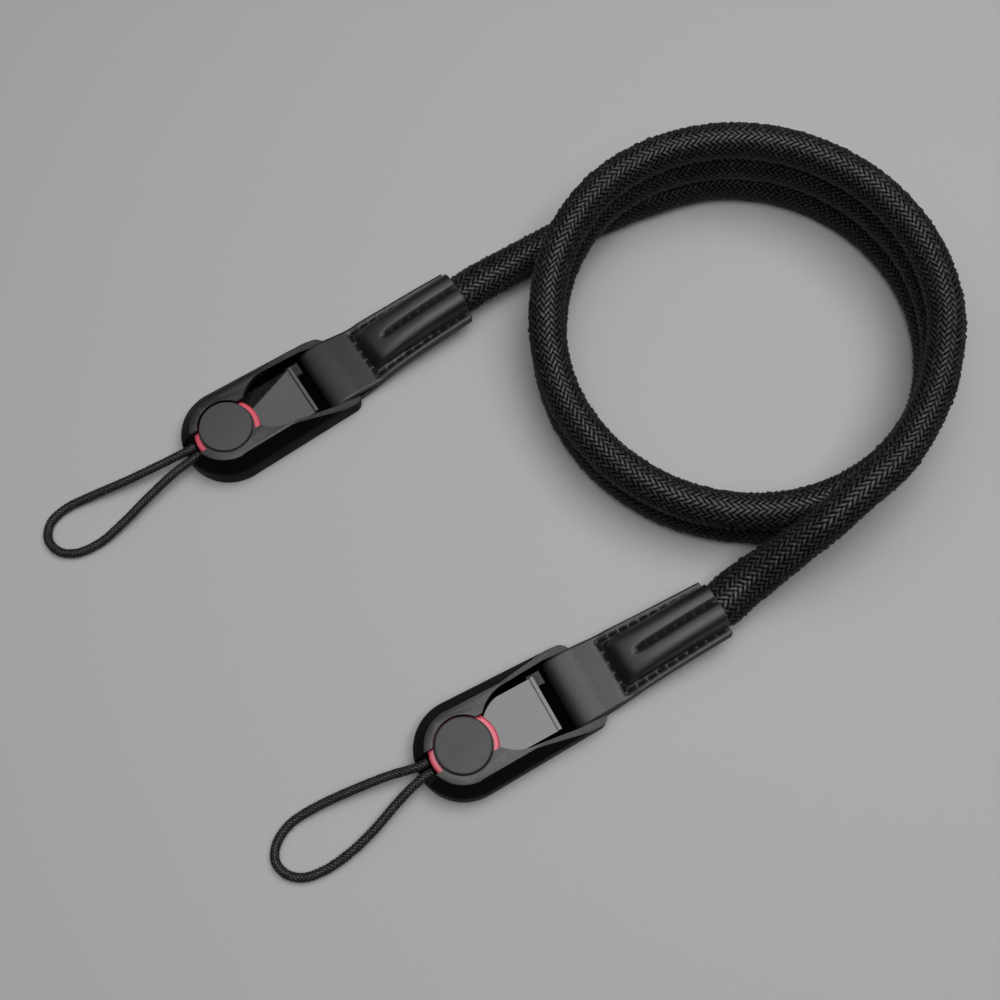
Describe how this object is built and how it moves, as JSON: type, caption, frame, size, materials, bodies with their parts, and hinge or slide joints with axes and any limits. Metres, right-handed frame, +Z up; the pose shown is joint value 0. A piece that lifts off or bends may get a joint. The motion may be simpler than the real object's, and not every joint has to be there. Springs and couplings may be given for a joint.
{
  "type": "rope camera strap",
  "caption": "Braided round rope camera strap lying in a coil, with sewn leather tabs and quick-release clips holding red anchor discs on thin cord loops.",
  "frame": {"origin": "middle of the bounding box of the lying strap, on the surface that it lies on", "axes": "+Z up from that surface, +X along the longer side of the box, from the clip with end letter a towards the coil"},
  "size_m": [0.2594, 0.2129, 0.0315],
  "materials": {
    "rope_black": "braided black rope",
    "leather_black": "smooth black leather, sewn",
    "clip_plastic": "satin moulded black",
    "tongue_plastic": "smooth dark grey",
    "anchor_red": "moulded red",
    "cap_plastic": "satin black",
    "loop_cord": "braided black cord"
  },
  "bodies": {
    "root": {"rope": "rope_black", "leather_tab_a": "leather_black", "leather_tab_b": "leather_black", "clip_body_a": "clip_plastic", "clip_body_b": "clip_plastic", "clip_tongue_a": "tongue_plastic", "clip_tongue_b": "tongue_plastic", "anchor_disc_a": "anchor_red", "anchor_disc_b": "anchor_red", "anchor_cap_a": "cap_plastic", "anchor_cap_b": "cap_plastic", "cord_loop_a": "loop_cord", "cord_loop_b": "loop_cord"}
  },
  "joints": []
}
